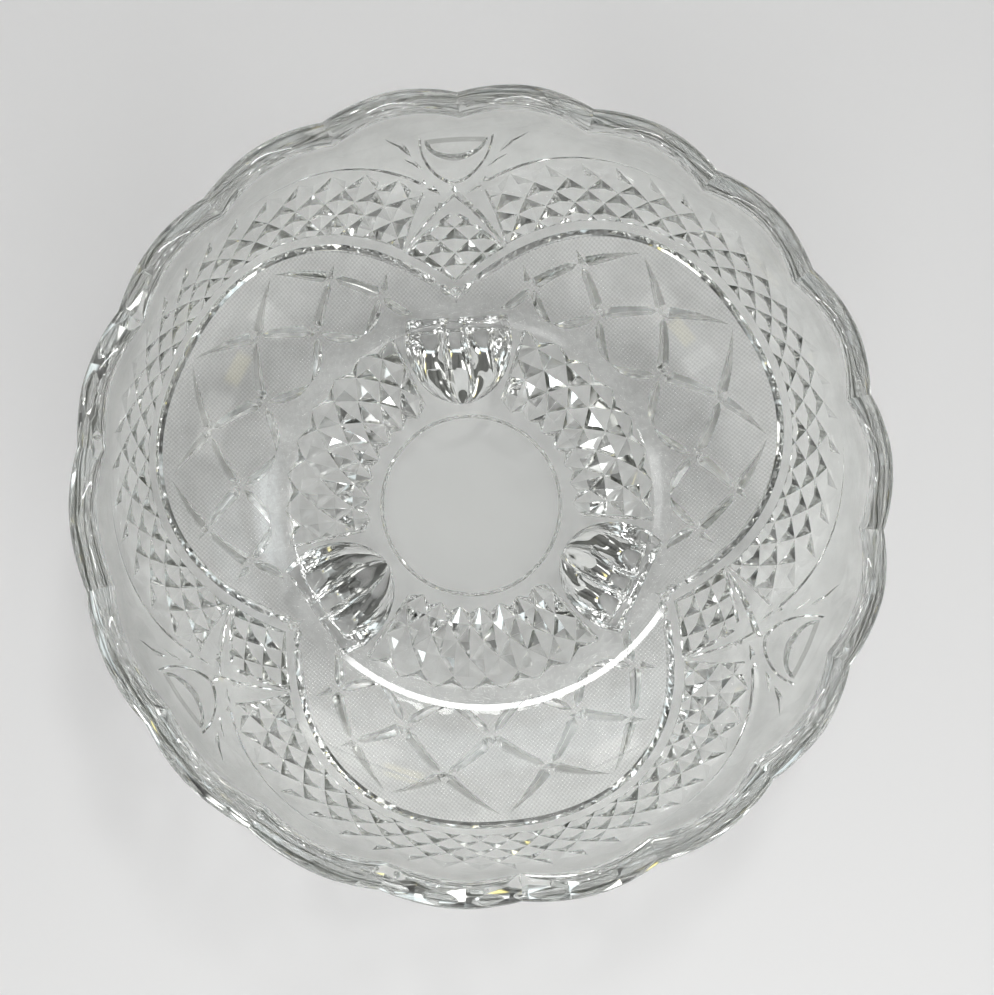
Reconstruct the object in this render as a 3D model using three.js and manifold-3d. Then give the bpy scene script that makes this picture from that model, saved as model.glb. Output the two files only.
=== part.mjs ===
// Three-footed sugar bowl of clear pressed glass with a scalloped rim.
// Millimetres, +Z up. The origin is the centre of the circle that the three feet stand on.
// The front foot points along +Y, and angles run clockwise from it, seen from above.
// The pattern is pressed into the outside. The inside is smooth.
//
// A place on the outside of the wall is given by its angle in degrees and its run, the length
// along the outer profile from the middle of the base, so the pattern is laid out as if unrolled.

import * as THREE from "three";
import { mergeVertices } from "three/addons/utils/BufferGeometryUtils.js";
import Module from "manifold-3d";

const wasm = await Module();
wasm.setup();
const { Manifold, Mesh: SolidMesh } = wasm;

// Outer profile, from the middle of the base outwards: flat base, tight heel, round wall, rim.
const FOOT_HEIGHT = 12;
const BASE_RADIUS = 31;
const HEEL_RADIUS = 8;
const HEEL_ANGLE = 16;
const WALL_RADIUS = 46;
const RIM_ANGLE = 75;
const RIM_STRAIGHT = 0.9;
const GLASS = 4.6;

// Rim: eighteen scallops, with the notches lower and further in than the lobes.
const SCALLOPS = 18;
const NOTCH_DROP = 3.4;
const NOTCH_INSET = 0.9;
const SCALLOP_START = 73;

// Pattern: three medallions between the feet, three kites above the feet.
const SECTORS = 3;
const SECTOR = 360 / SECTORS;
const MEDALLION = {
  centre: 25.6, across: 32.7, along: 30.3, power: 2.25, width: 1.4, depth: 1.0, end: 21, steps: 26,
};
const BAND = 3.0;
const LATTICE_ROWS = [
  { run: 58.8, drop: 0.65, columns: [-2, 0, 2] },
  { run: 49.7, drop: 0.16, columns: [-3, -1, 1, 3] },
  { run: 41.4, drop: 0.03, columns: [-4, -2, 0, 2, 4] },
  { run: 36.2, drop: 0.0, columns: [-5, -3, -1, 1, 3, 5] },
];
const LATTICE_PITCH = 11.2;
const LATTICE_CLOSING = 0.07;
const LATTICE_CUT = { width: 1.9, depth: 1.3 };

// Diamond points: pitch and fan are degrees for each column, row is the run for each row,
// and bow is how fast the rows fall away from the middle of the sector. Points stand in the
// rows from first to last, and the grooves run out in the rows named in tips.
const CRESCENT = {
  pitch: 2.407, fan: 0.096, run: 65.7, row: 2.215, bow: 0.037, first: 0, last: 3, tips: [4], depth: 1.45,
};
const CRESCENT_END = { run: 59.5, angle: 5.5, lowRun: 48.5, lowAngle: 11.5 };
const BASE_FIELD = {
  pitch: 5.4545, fan: 0, run: 17.8, row: 3.04, bow: 0, first: 1, last: 4, tips: [0, 5], depth: 1.5,
};
const BASE_FIELD_REACH = 38.5;
const KITE_FIELD = {
  pitch: 3.15, fan: 0, run: 41, row: 2.52, bow: 0, first: 0, last: 4, tips: [], depth: 1.3,
};
const KITE = { apex: 58.4, corner: 11.3, cornerRun: 47.4, width: 1.3, depth: 0.8, tail: 0.35 };
const KITE_FIELD_TOP = { run: 53.5, fall: 0.62, band: 2.5 };

// Shield above each kite, with a D-shaped hollow in it.
const SHIELD = { top: 71.6, bottom: 59.6, half: 7.6, width: 0.9, depth: 0.5 };
const HOLLOW = { top: 71.8, bottom: 65.4, half: 6.8, depth: 0.9, bevel: 1.1 };
const CENTRE_RING = { radius: 15.7, width: 0.7, depth: 0.32 };

// Feet: an ellipse in plan, cut off flat outside, with three round ribs and a sloping inner side.
// Valley is where a rib meets the next, and widest where the ellipse is widest, both as shares.
// The foot is drawn deeper than it is (spare) and cut level, which leaves a flat pad on each rib.
const FOOT = {
  radius: 26, inner: -8, outer: 7.6, half: 9.5, toe: 7.6, widest: 0.76,
  valley: 0.259, groove: 3.0, spare: 0.6, flank: 2.4, buried: 3,
};
const FOOT_GAP = 0.3;

// Facets. CLEAR is how far a tool stands out of the glass that it cuts. POINT_SUNK is how far
// the diamond points lie under the plain surface, TIP_DEPTH is what is left of a groove at its end.
const ROUND = SCALLOPS * 4;
const WALL_STEPS = 6;
const HEEL_STEPS = 2;
const LIP_STEPS = [0, 45, 90, 135];
const CLEAR = 0.5;
const POINT_SUNK = 0.23;
const TIP_DEPTH = 0.12;

const rad = THREE.MathUtils.degToRad;
const lerp = THREE.MathUtils.lerp;
const HEEL_RUN = BASE_RADIUS + HEEL_RADIUS * rad(HEEL_ANGLE);
const WALL_RUN = HEEL_RUN + WALL_RADIUS * rad(RIM_ANGLE - HEEL_ANGLE);
const RIM_RUN = WALL_RUN + RIM_STRAIGHT;

// Outer profile

function alongArc(start, slope, radius) {
  return {
    radius: start.radius + radius * (Math.sin(slope) - Math.sin(start.slope)),
    height: start.height + radius * (Math.cos(start.slope) - Math.cos(slope)),
    slope,
  };
}

const heelStart = { radius: BASE_RADIUS, height: FOOT_HEIGHT, slope: 0 };
const wallStart = alongArc(heelStart, rad(HEEL_ANGLE), HEEL_RADIUS);
const rimStart = alongArc(wallStart, rad(RIM_ANGLE), WALL_RADIUS);

function profileAt(run) {
  if (run <= BASE_RADIUS) return { radius: run, height: FOOT_HEIGHT, slope: 0 };
  if (run <= HEEL_RUN) return alongArc(heelStart, (run - BASE_RADIUS) / HEEL_RADIUS, HEEL_RADIUS);
  if (run <= WALL_RUN) {
    return alongArc(wallStart, rad(HEEL_ANGLE) + (run - HEEL_RUN) / WALL_RADIUS, WALL_RADIUS);
  }
  return {
    radius: rimStart.radius + (run - WALL_RUN) * Math.cos(rimStart.slope),
    height: rimStart.height + (run - WALL_RUN) * Math.sin(rimStart.slope),
    slope: rimStart.slope,
  };
}

function runAtRadius(radius) {
  if (radius <= BASE_RADIUS) return radius;
  if (radius <= wallStart.radius) {
    return BASE_RADIUS + HEEL_RADIUS * Math.asin((radius - BASE_RADIUS) / HEEL_RADIUS);
  }
  const sine = (radius - wallStart.radius) / WALL_RADIUS + Math.sin(wallStart.slope);
  return HEEL_RUN + WALL_RADIUS * (Math.asin(Math.min(sine, 1)) - wallStart.slope);
}

// A point of the profile, pushed out of the glass by lift, or into it where lift is negative.
function profilePoint(run, lift) {
  const at = profileAt(run);
  return new THREE.Vector2(at.radius + lift * Math.sin(at.slope), at.height - lift * Math.cos(at.slope));
}

function wallPoint(angle, run, lift) {
  const { x: radius, y: height } = profilePoint(run, lift);
  return new THREE.Vector3(radius * Math.sin(rad(angle)), radius * Math.cos(rad(angle)), height);
}

// Solids

function signedVolume(positions, triangles) {
  const [a, b, c] = [new THREE.Vector3(), new THREE.Vector3(), new THREE.Vector3()];
  let total = 0;
  for (let i = 0; i < triangles.length; i += 3) {
    a.fromArray(positions, 3 * triangles[i]);
    b.fromArray(positions, 3 * triangles[i + 1]);
    c.fromArray(positions, 3 * triangles[i + 2]);
    total += a.dot(b.cross(c)) / 6;
  }
  return total;
}

function solid(geometry) {
  const bare = geometry.clone();
  bare.deleteAttribute("normal");
  bare.deleteAttribute("uv");
  const merged = mergeVertices(bare);
  const vertProperties = new Float32Array(merged.attributes.position.array);
  const corners = merged.index.array;
  const triangles = [];
  for (let i = 0; i < corners.length; i += 3) {
    const [a, b, c] = [corners[i], corners[i + 1], corners[i + 2]];
    if (a !== b && b !== c && c !== a) triangles.push(a, b, c);
  }
  if (signedVolume(vertProperties, triangles) < 0) triangles.reverse();
  return new Manifold(new SolidMesh({ numProp: 3, vertProperties, triVerts: Uint32Array.from(triangles) }));
}

function named(name, body, material) {
  const cut = body.getMesh();
  const geometry = new THREE.BufferGeometry();
  geometry.setAttribute("position", new THREE.Float32BufferAttribute(cut.vertProperties, 3));
  geometry.setIndex(Array.from(cut.triVerts));
  geometry.computeVertexNormals();
  const mesh = new THREE.Mesh(geometry, material);
  mesh.name = name;
  return mesh;
}

function moveVertices(geometry, place) {
  const position = geometry.attributes.position;
  for (let i = 0; i < position.count; i += 1) {
    const moved = place(position.getX(i), position.getY(i), position.getZ(i));
    position.setXYZ(i, moved.x, moved.y, moved.z);
  }
  return geometry;
}

function revolve(points, facets) {
  return new THREE.LatheGeometry(points, facets).rotateX(Math.PI / 2);
}

// Cutters. A V groove is a triangular bar laid along a path on the wall: path gives the
// angle and the run for t from 0 to 1, halfWidth and depth give the section there.

function vGroove(path, halfWidth, depth, steps) {
  const section = new THREE.Shape([[-1, 1], [0, 0], [1, 1]].map(([x, y]) => new THREE.Vector2(x, y)));
  const bar = new THREE.ExtrudeGeometry(section, { depth: 1, steps, bevelEnabled: false });
  const nudge = 1e-3;
  return solid(moveVertices(bar, (side, top, t) => {
    const [angle, run] = path(t);
    const [fromAngle, fromRun] = path(t - nudge);
    const [toAngle, toRun] = path(t + nudge);
    const arm = profileAt(run).radius;
    const ahead = new THREE.Vector2(rad(toAngle - fromAngle) * arm, toRun - fromRun).normalize();
    const sunk = depth(t);
    const reach = (side * halfWidth(t) * (sunk + CLEAR)) / sunk;
    const turned = THREE.MathUtils.radToDeg((ahead.y * reach) / arm);
    return wallPoint(angle + turned, run - ahead.x * reach, top > 0 ? CLEAR : -sunk);
  }));
}

const steady = (value) => () => value;
const lens = (value, tip) => (t) => value * lerp(tip, 1, Math.sin(Math.PI * THREE.MathUtils.clamp(t, 0, 1)));
const straight = (from, to) => (t) => [lerp(from[0], to[0], t), lerp(from[1], to[1], t)];

// An outline drawn flat in millimetres, extruded and then bent onto the wall at an angle and run.
function bentPocket(outline, angle, run, depth, bevel) {
  const block = new THREE.ExtrudeGeometry(outline, {
    depth: CLEAR, steps: 1, bevelThickness: depth, bevelSize: bevel, bevelOffset: -bevel, bevelSegments: 2,
    curveSegments: 5,
  });
  return solid(moveVertices(block, (x, y, lift) => {
    const arm = profileAt(run + y).radius;
    return wallPoint(angle + THREE.MathUtils.radToDeg(x / arm), run + y, lift);
  }));
}

// Blank: the bowl before the pattern is cut

function lobeAt(x, y) {
  const turn = ((Math.atan2(x, y) / (2 * Math.PI)) * SCALLOPS + 2 * SCALLOPS) % 1;
  const across = 2 * turn - 1;
  return 1 - across * across;
}

// The places along the profile where the surface turns, up to a number of steps of the wall.
function profileRuns(wallSteps) {
  const runs = [0, BASE_RADIUS];
  for (let i = 1; i <= HEEL_STEPS; i += 1) runs.push(lerp(BASE_RADIUS, HEEL_RUN, i / HEEL_STEPS));
  for (let i = 1; i <= wallSteps; i += 1) runs.push(lerp(HEEL_RUN, WALL_RUN, i / WALL_STEPS));
  return runs;
}

function bowlBlank() {
  const runs = [...profileRuns(WALL_STEPS), RIM_RUN];
  const outside = runs.map((run) => profilePoint(run, 0));
  const insideRuns = runs.filter((run, i) => i % 2 === 0 || run <= BASE_RADIUS).reverse();
  const inside = insideRuns.map((run) => profilePoint(run, -GLASS));
  const lipCentre = profilePoint(RIM_RUN, -GLASS / 2);
  const lip = LIP_STEPS.map((turn) => {
    const out = new THREE.Vector2(Math.cos(rad(turn)), Math.sin(rad(turn)));
    return out.multiplyScalar(GLASS / 2).add(lipCentre);
  });
  const blank = revolve([...outside, ...lip, ...inside], ROUND);
  const low = profileAt(SCALLOP_START).height;
  const high = lipCentre.y + GLASS / 2;
  return solid(moveVertices(blank, (x, y, z) => {
    const grown = THREE.MathUtils.clamp((z - low) / (high - low), 0, 1) ** 1.5;
    const notch = grown * (1 - lobeAt(x, y));
    const radius = Math.hypot(x, y);
    const drawn = radius > 0 ? (radius - NOTCH_INSET * notch) / radius : 1;
    return new THREE.Vector3(x * drawn, y * drawn, z - NOTCH_DROP * notch);
  }));
}

// Medallion: a ring that is nearly round seen from above, and a lattice of lens cuts in it

function ringPath(t) {
  const turn = rad(lerp(-MEDALLION.end, 180 + MEDALLION.end, t));
  const power = 2 / MEDALLION.power;
  const [cosine, sine] = [Math.cos(turn), Math.sin(turn)];
  const x = MEDALLION.across * Math.sign(cosine) * Math.abs(cosine) ** power;
  const y = MEDALLION.centre + MEDALLION.along * Math.sign(sine) * Math.abs(sine) ** power;
  return [THREE.MathUtils.radToDeg(Math.atan2(x, y)), runAtRadius(Math.hypot(x, y))];
}

const ringSamples = Array.from({ length: 181 }, (_, i) => ringPath(i / 180));

// How far a place lies outside the medallion's ring, in millimetres along the wall.
function outsideRing(offset, run) {
  let nearest = Infinity;
  for (const [angle, ringRun] of ringSamples) {
    const sideways = rad(offset - angle) * profileAt((run + ringRun) / 2).radius;
    nearest = Math.min(nearest, Math.hypot(sideways, run - ringRun));
  }
  const { radius } = profileAt(run);
  const x = (radius * Math.sin(rad(offset))) / MEDALLION.across;
  const y = (radius * Math.cos(rad(offset)) - MEDALLION.centre) / MEDALLION.along;
  const inside = Math.abs(x) ** MEDALLION.power + Math.abs(y) ** MEDALLION.power < 1;
  return inside ? -nearest : nearest;
}

function latticeNode(row, column) {
  const { run, drop } = LATTICE_ROWS[row];
  const offset = column * LATTICE_PITCH - LATTICE_CLOSING * column ** 3;
  return [offset, run - drop * column * column];
}

function latticeCuts(centre) {
  const cuts = [];
  for (let row = 0; row + 1 < LATTICE_ROWS.length; row += 1) {
    const lowest = row + 2 === LATTICE_ROWS.length;
    for (const column of LATTICE_ROWS[row].columns) {
      for (const side of [-1, 1]) {
        const from = latticeNode(row, column);
        const to = latticeNode(row + 1, column + side);
        const path = (t) => {
          const along = lerp(0.04, 0.96, t);
          const sag = lowest ? (1 - along) ** 2 : 1 - along;
          return [centre + lerp(from[0], to[0], along), to[1] + (from[1] - to[1]) * sag];
        };
        cuts.push(vGroove(path, lens(LATTICE_CUT.width / 2, 0), lens(LATTICE_CUT.depth, 0.02), 2));
      }
    }
  }
  return cuts;
}

function medallionCuts(centre) {
  const cuts = latticeCuts(centre);
  const ring = (t) => {
    const [offset, run] = ringPath(t);
    return [centre + offset, run];
  };
  cuts.push(vGroove(ring, steady(MEDALLION.width / 2), steady(MEDALLION.depth), MEDALLION.steps));
  return cuts;
}

// Diamond points: a sheet of four-sided pyramids, whose feet lie in the grooves between them.
// The sheet is the tool that presses them, so it is solid above the pyramids.

function fieldNode(field, row, column) {
  const offset = column * (field.pitch + field.fan * row);
  return [offset, field.run + field.row * row - field.bow * column * column];
}

// A corner outside the field is drawn back along the line to the middle of its pyramid.
function drawnBack(corner, middle, inside) {
  if (inside(...corner)) return corner;
  let [near, far] = [0, 1];
  for (let halving = 0; halving < 12; halving += 1) {
    const half = (near + far) / 2;
    if (inside(lerp(middle[0], corner[0], half), lerp(middle[1], corner[1], half))) near = half;
    else far = half;
  }
  return [lerp(middle[0], corner[0], near), lerp(middle[1], corner[1], near)];
}

function diamondPoints(field, centre, columns, inside) {
  const faces = [];
  const edges = new Map();
  const place = ([offset, run], lift) => wallPoint(centre + offset, run, lift);
  const bottom = (corner) => place(corner, -corner[2]);
  const key = (from, to) => [...from, ...to].map((value) => value.toFixed(3)).join(" ");
  for (let row = field.first; row <= field.last; row += 1) {
    for (let column = -columns; column <= columns; column += 1) {
      const middle = fieldNode(field, row, column);
      if ((row + column) % 2 === 0 || !inside(...middle)) continue;
      const corners = [[0, 1], [1, 0], [0, -1], [-1, 0]].map(([up, over]) => {
        const corner = drawnBack(fieldNode(field, row + up, column + over), middle, inside);
        return [...corner, field.tips.includes(row + up) ? TIP_DEPTH : field.depth];
      });
      corners.forEach((corner, i) => {
        const next = corners[(i + 1) % corners.length];
        faces.push(place(middle, -POINT_SUNK), bottom(next), bottom(corner));
        faces.push(place(middle, CLEAR), place(corner, CLEAR), place(next, CLEAR));
        edges.set(key(corner, next), [corner, next]);
      });
    }
  }
  for (const [from, to] of edges.values()) {
    if (edges.has(key(to, from))) continue;
    faces.push(bottom(from), bottom(to), place(to, CLEAR));
    faces.push(bottom(from), place(to, CLEAR), place(from, CLEAR));
  }
  return solid(new THREE.BufferGeometry().setFromPoints(faces));
}

function crescentTool(centre) {
  const inside = (offset, run) => {
    const side = Math.abs(offset);
    const along = (CRESCENT_END.run - run) / (CRESCENT_END.run - CRESCENT_END.lowRun);
    const limit = SECTOR / 2 - lerp(CRESCENT_END.angle, CRESCENT_END.lowAngle, along);
    return side < limit && outsideRing(offset, run) > BAND;
  };
  return diamondPoints(CRESCENT, centre, 24, inside);
}

function baseFieldTool(centre) {
  const inside = (offset, run) => Math.abs(offset) < BASE_FIELD_REACH && run > BASE_FIELD.run - 0.1;
  return diamondPoints(BASE_FIELD, centre, 14, inside);
}

// Kite above a foot, with small diamond points in it, and the shield over it

function kiteCuts(centre) {
  const inside = (offset, run) => {
    const side = Math.abs(offset);
    const under = run < KITE_FIELD_TOP.run - KITE_FIELD_TOP.fall * side;
    return under && run > KITE_FIELD.run && outsideRing(SECTOR / 2 - side, run) > KITE_FIELD_TOP.band;
  };
  const cuts = [diamondPoints(KITE_FIELD, centre, 6, inside)];
  for (const side of [-1, 1]) {
    const edge = straight([centre, KITE.apex], [centre + side * KITE.corner, KITE.cornerRun]);
    const taper = (t) => (KITE.width / 2) * lerp(1, KITE.tail, t);
    cuts.push(vGroove(edge, taper, steady(KITE.depth), 3));
  }
  return cuts;
}

function shieldCuts(centre) {
  const cuts = [];
  for (const side of [-1, 1]) {
    const edge = (t) => {
      const turn = (Math.PI / 2) * t;
      const run = SHIELD.top - (SHIELD.top - SHIELD.bottom) * Math.sin(turn);
      return [centre + side * SHIELD.half * Math.cos(turn), run];
    };
    cuts.push(vGroove(edge, lens(SHIELD.width / 2, 0), lens(SHIELD.depth, 0.02), 4));
  }
  const outline = new THREE.Shape();
  const deep = HOLLOW.top - HOLLOW.bottom;
  outline.moveTo(-HOLLOW.half, 0);
  outline.bezierCurveTo(-HOLLOW.half * 0.9, -deep * 0.8, -HOLLOW.half * 0.4, -deep, 0, -deep);
  outline.bezierCurveTo(HOLLOW.half * 0.4, -deep, HOLLOW.half * 0.9, -deep * 0.8, HOLLOW.half, 0);
  outline.closePath();
  cuts.push(bentPocket(outline, centre, HOLLOW.top, HOLLOW.depth, HOLLOW.bevel));
  return cuts;
}

function centreRing() {
  const { radius, width, depth } = CENTRE_RING;
  const section = [
    new THREE.Vector2(radius, FOOT_HEIGHT + depth),
    new THREE.Vector2(radius + width, FOOT_HEIGHT - CLEAR),
    new THREE.Vector2(radius - width, FOOT_HEIGHT - CLEAR),
    new THREE.Vector2(radius, FOOT_HEIGHT + depth),
  ];
  return solid(revolve(section, ROUND / 2));
}

function bowl() {
  const cuts = [centreRing()];
  for (let sector = 0; sector < SECTORS; sector += 1) {
    const foot = sector * SECTOR;
    const between = foot + SECTOR / 2;
    cuts.push(...medallionCuts(between), crescentTool(between), baseFieldTool(between));
    cuts.push(...kiteCuts(foot), ...shieldCuts(foot));
  }
  return bowlBlank().subtract(Manifold.union(cuts));
}

// Foot: sections stand upright, one behind the other from the inner tip to the outer side.
// The lower half of each section has the ribs, and the upper half is buried in the seat.
// Aside is how far a place lies from the middle of a section, as a share of its half width.

const RIB_CROWN = (1 + FOOT.valley) / 2;

// How far the section rises from the crown of a rib, 0, to the valley beside it, 1.
function valleyAt(aside) {
  if (aside > RIB_CROWN) return 0;
  const beyond = aside > FOOT.valley ? (RIB_CROWN - aside) / (RIB_CROWN - FOOT.valley) : aside / FOOT.valley;
  return 1 - Math.sqrt(1 - beyond * beyond);
}

// The round outer half of a side rib, from 1 at its crown to 0 at the edge of the foot.
function flankAt(aside) {
  const past = THREE.MathUtils.clamp((aside - RIB_CROWN) / (1 - RIB_CROWN), 0, 1);
  return (1 - past ** FOOT.flank) ** (1 / FOOT.flank);
}

function footGeometry() {
  const blank = new THREE.CylinderGeometry(1, 1, 1, 48, 10);
  return moveVertices(blank, (x, level, z) => {
    const along = 0.5 - level;
    const back = lerp(FOOT.inner, FOOT.outer, along);
    const turn = Math.atan2(z, x);
    const size = Math.min(1, Math.hypot(x, z));
    const side = Math.cos(turn) * size;
    const down = Math.abs(Math.sin(turn)) * size;
    const half = FOOT.half * Math.sqrt(Math.max(0.02, 1 - (along / FOOT.widest - 1) ** 2));
    if (z <= 0) return new THREE.Vector3(side * half, back, FOOT_HEIGHT + FOOT.buried * down);
    const slope = THREE.MathUtils.smoothstep(along, -0.1, 0.6);
    const heel = 1 - 0.45 * THREE.MathUtils.smoothstep(along, 0.86, 1.05);
    const across = Math.min(half, lerp(half, FOOT.toe, down));
    const aside = Math.abs(side);
    const deep = (FOOT_HEIGHT + FOOT.spare) * heel * flankAt(aside) - FOOT.groove * valleyAt(aside);
    return new THREE.Vector3(side * across, back, Math.max(0, FOOT_HEIGHT - deep * slope));
  });
}

// The glass above the feet, grown by the gap, which trims each foot to the shape of the base.
function seat() {
  const under = profileRuns(2).map((run) => profilePoint(run, FOOT_GAP));
  const top = under[under.length - 1].y;
  return solid(revolve([...under, new THREE.Vector2(0, top)], ROUND));
}

const clear = { roughness: 0.04, transparent: true, opacity: 0.5 };
const glass = new THREE.MeshStandardMaterial({ color: 0xdfe6e6, ...clear });
const footGlass = new THREE.MeshStandardMaterial({ color: 0xc9d2d2, ...clear });

const sugarBowl = new THREE.Group();
sugarBowl.add(named("bowl", bowl(), glass));

["front", "right", "left"].forEach((place, index) => {
  const foot = solid(footGeometry().translate(0, FOOT.radius, 0).rotateZ(rad(-index * SECTOR)));
  sugarBowl.add(named(`foot_${place}`, foot.subtract(seat()), footGlass.clone()));
});

export default sugarBowl;
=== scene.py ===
import math

import bmesh
import bpy
import numpy as np
from mathutils import Matrix, Vector, noise
from mathutils.geometry import delaunay_2d_cdt


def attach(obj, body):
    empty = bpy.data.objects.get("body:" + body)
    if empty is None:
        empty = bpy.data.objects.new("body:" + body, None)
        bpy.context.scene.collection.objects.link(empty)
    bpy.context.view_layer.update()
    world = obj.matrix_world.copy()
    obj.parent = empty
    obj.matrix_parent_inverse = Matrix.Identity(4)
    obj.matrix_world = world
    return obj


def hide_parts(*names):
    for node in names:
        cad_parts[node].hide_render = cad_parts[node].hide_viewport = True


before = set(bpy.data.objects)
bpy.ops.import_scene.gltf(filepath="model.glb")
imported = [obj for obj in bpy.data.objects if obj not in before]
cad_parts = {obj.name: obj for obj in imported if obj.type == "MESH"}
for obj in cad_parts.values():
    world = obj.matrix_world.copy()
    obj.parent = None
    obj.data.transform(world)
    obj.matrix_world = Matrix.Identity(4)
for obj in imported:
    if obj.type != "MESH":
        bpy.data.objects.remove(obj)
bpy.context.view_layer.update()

# Bowl wall: clear soda glass pressed between an outer mould, which carries the pattern, and a
# smooth plunger, so the inside is plain and the thickness is even.
FOOT_HEIGHT = 12.0
BASE_RADIUS = 31.0
HEEL_RADIUS = 8.0
HEEL_SLOPE = math.radians(16)
WALL_RADIUS = 46.0
RIM_SLOPE = math.radians(75)
RIM_STRAIGHT = 0.9
GLASS = 4.6

# Sizes are in millimetres until the mesh is made. A place on the outside has a turn, in degrees
# from the middle of a medallion, and a run, the length along the profile from the middle of the
# base. Half a medallion, up to the middle of a foot, is drawn, and the rest is copied from it.
HEEL_RUN = BASE_RADIUS + HEEL_RADIUS * HEEL_SLOPE
WALL_RUN = HEEL_RUN + WALL_RADIUS * (RIM_SLOPE - HEEL_SLOPE)
RIM_RUN = WALL_RUN + RIM_STRAIGHT
DISC_RUN = 14.0
HALF_SECTOR = 60.0


def profile(run):
    """Radius, height and slope of the outer profile."""
    run = np.asarray(run, float)
    heel = np.clip((run - BASE_RADIUS) / HEEL_RADIUS, 0, HEEL_SLOPE)
    slope = heel + np.clip((run - HEEL_RUN) / WALL_RADIUS, 0, RIM_SLOPE - HEEL_SLOPE)
    level = np.minimum(run, BASE_RADIUS)
    past = np.maximum(run - WALL_RUN, 0)
    radius = level + HEEL_RADIUS * np.sin(heel)
    radius = radius + WALL_RADIUS * (np.sin(slope) - np.sin(heel)) + past * np.cos(slope)
    height = HEEL_RADIUS * (1 - np.cos(heel))
    height = height + WALL_RADIUS * (np.cos(heel) - np.cos(slope)) + past * np.sin(slope)
    return radius, FOOT_HEIGHT + height, slope


def arm(run):
    """Millimetres along the wall for one degree."""
    return np.radians(1) * np.maximum(profile(run)[0], 1)


def on_wall(angle, run, lift):
    """The point at an angle clockwise from +Y, pushed out of the glass by lift."""
    radius, height, slope = profile(run)
    radius = radius + lift * np.sin(slope)
    height = height - lift * np.cos(slope)
    turn = np.radians(angle)
    return np.stack([radius * np.sin(turn), radius * np.cos(turn), height], -1)


# Medallions: three nearly round fields between the feet, each inside a plain band. A V-shaped
# ring bounds it, and slanting lens cuts cross it as a lattice, all of them ribs of the mould.
MEDALLION_CENTRE = 25.6
MEDALLION_ACROSS = 32.7
MEDALLION_ALONG = 30.3
MEDALLION_POWER = 2.25
RING_STEPS = 60
RING_START = -24
RING_HALF = 0.75
RING_DEPTH = 1.95
BAND = 3.0
FAR = 1e9

# The pattern is a list of marks, each a turn, a run and a depth, and of the lines that join them.
# No plain glass gets a point of its own inside a pocket, the outline of a cut.
marks = []
lines = []
pockets = []


def clipped(line, inside):
    """The stretches of a line of (turn, run, depth) in which inside(turn, run) is not negative."""
    stretches, current = [], []
    signs = inside(line[:, 0], line[:, 1])
    for i in range(len(line)):
        if i and (signs[i] >= 0) != (signs[i - 1] >= 0):
            share = signs[i - 1] / (signs[i - 1] - signs[i])
            current.append(line[i - 1] + (line[i] - line[i - 1]) * share)
            if signs[i] < 0:
                stretches.append(current)
                current = []
        if signs[i] >= 0:
            current.append(line[i])
    if len(current) > 1:
        stretches.append(current)
    return [np.array(s) for s in stretches if len(s) > 1]


def in_half(turn, run):
    """Negative outside the half medallion that is drawn."""
    beside = np.minimum(turn, HALF_SECTOR - turn)
    return np.minimum(beside, np.minimum(run - DISC_RUN, RIM_RUN - run))


def mark(line, inside=in_half):
    """Puts a line of (turn, run, depth) into the pattern. A depth of nan comes from the fields."""
    for stretch in clipped(np.asarray(line, float), inside):
        first = len(marks)
        marks.extend(stretch)
        lines.extend((first + i, first + i + 1) for i in range(len(stretch) - 1))


def wheel_cut(keel, half, depth, blunt=None, closing=0.55):
    """A V-shaped cut: its keel as (turn, run) points, half its width and its depth at each.
    A cut that ends blunt is cut off at that run, and its keel stops above it by closing."""
    keel, half, depth = (np.asarray(a, float) for a in (keel, half, depth))
    scale = arm(keel[:, 1])
    flat = np.stack([keel[:, 0] * scale.mean(), keel[:, 1]], -1)
    ahead = np.gradient(flat, axis=0)
    ahead /= np.linalg.norm(ahead, axis=1, keepdims=True)
    across = np.stack([ahead[:, 1] / scale, -ahead[:, 0]], -1)
    sides = [keel + across * half[:, None] * side for side in (-1, 1)]
    keel_line = np.c_[keel, depth]
    if blunt is not None:
        level = [np.c_[side, side[:, 1] * 0] for side in sides]
        sides = [clipped(side, lambda t, r: r - blunt)[0][:, :2] for side in level]
        keel_line = clipped(keel_line, lambda t, r: r - blunt - closing)[0]
    outline = np.concatenate([sides[0], sides[1][::-1]])
    closed = np.concatenate([outline, outline[:1]])
    mark(np.c_[closed, closed[:, 1] * 0])
    mark(keel_line)
    pockets.append(outline)


def ring_points(grow):
    """The medallion's ring, or a line outside it by grow along the wall, as (turn, run)."""
    corner = np.radians(np.linspace(RING_START, 90, RING_STEPS))
    power = 2 / MEDALLION_POWER
    x = MEDALLION_ACROSS * np.abs(np.cos(corner)) ** power
    bulge = np.sign(np.sin(corner)) * np.abs(np.sin(corner)) ** power
    y = MEDALLION_CENTRE + MEDALLION_ALONG * bulge
    runs = np.linspace(0, RIM_RUN, 800)
    run = np.interp(np.hypot(x, y), profile(runs)[0], runs)
    points = np.stack([np.degrees(np.arctan2(x, y)), run], -1)
    scale = arm(run)
    ahead = np.stack([np.gradient(points[:, 0]) * scale, np.gradient(run)], -1)
    ahead[-1, 1] = 0
    ahead /= np.linalg.norm(ahead, axis=1, keepdims=True)
    return points + grow * np.stack([ahead[:, 1] / scale, -ahead[:, 0]], -1)


ring_line = ring_points(0)


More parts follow.
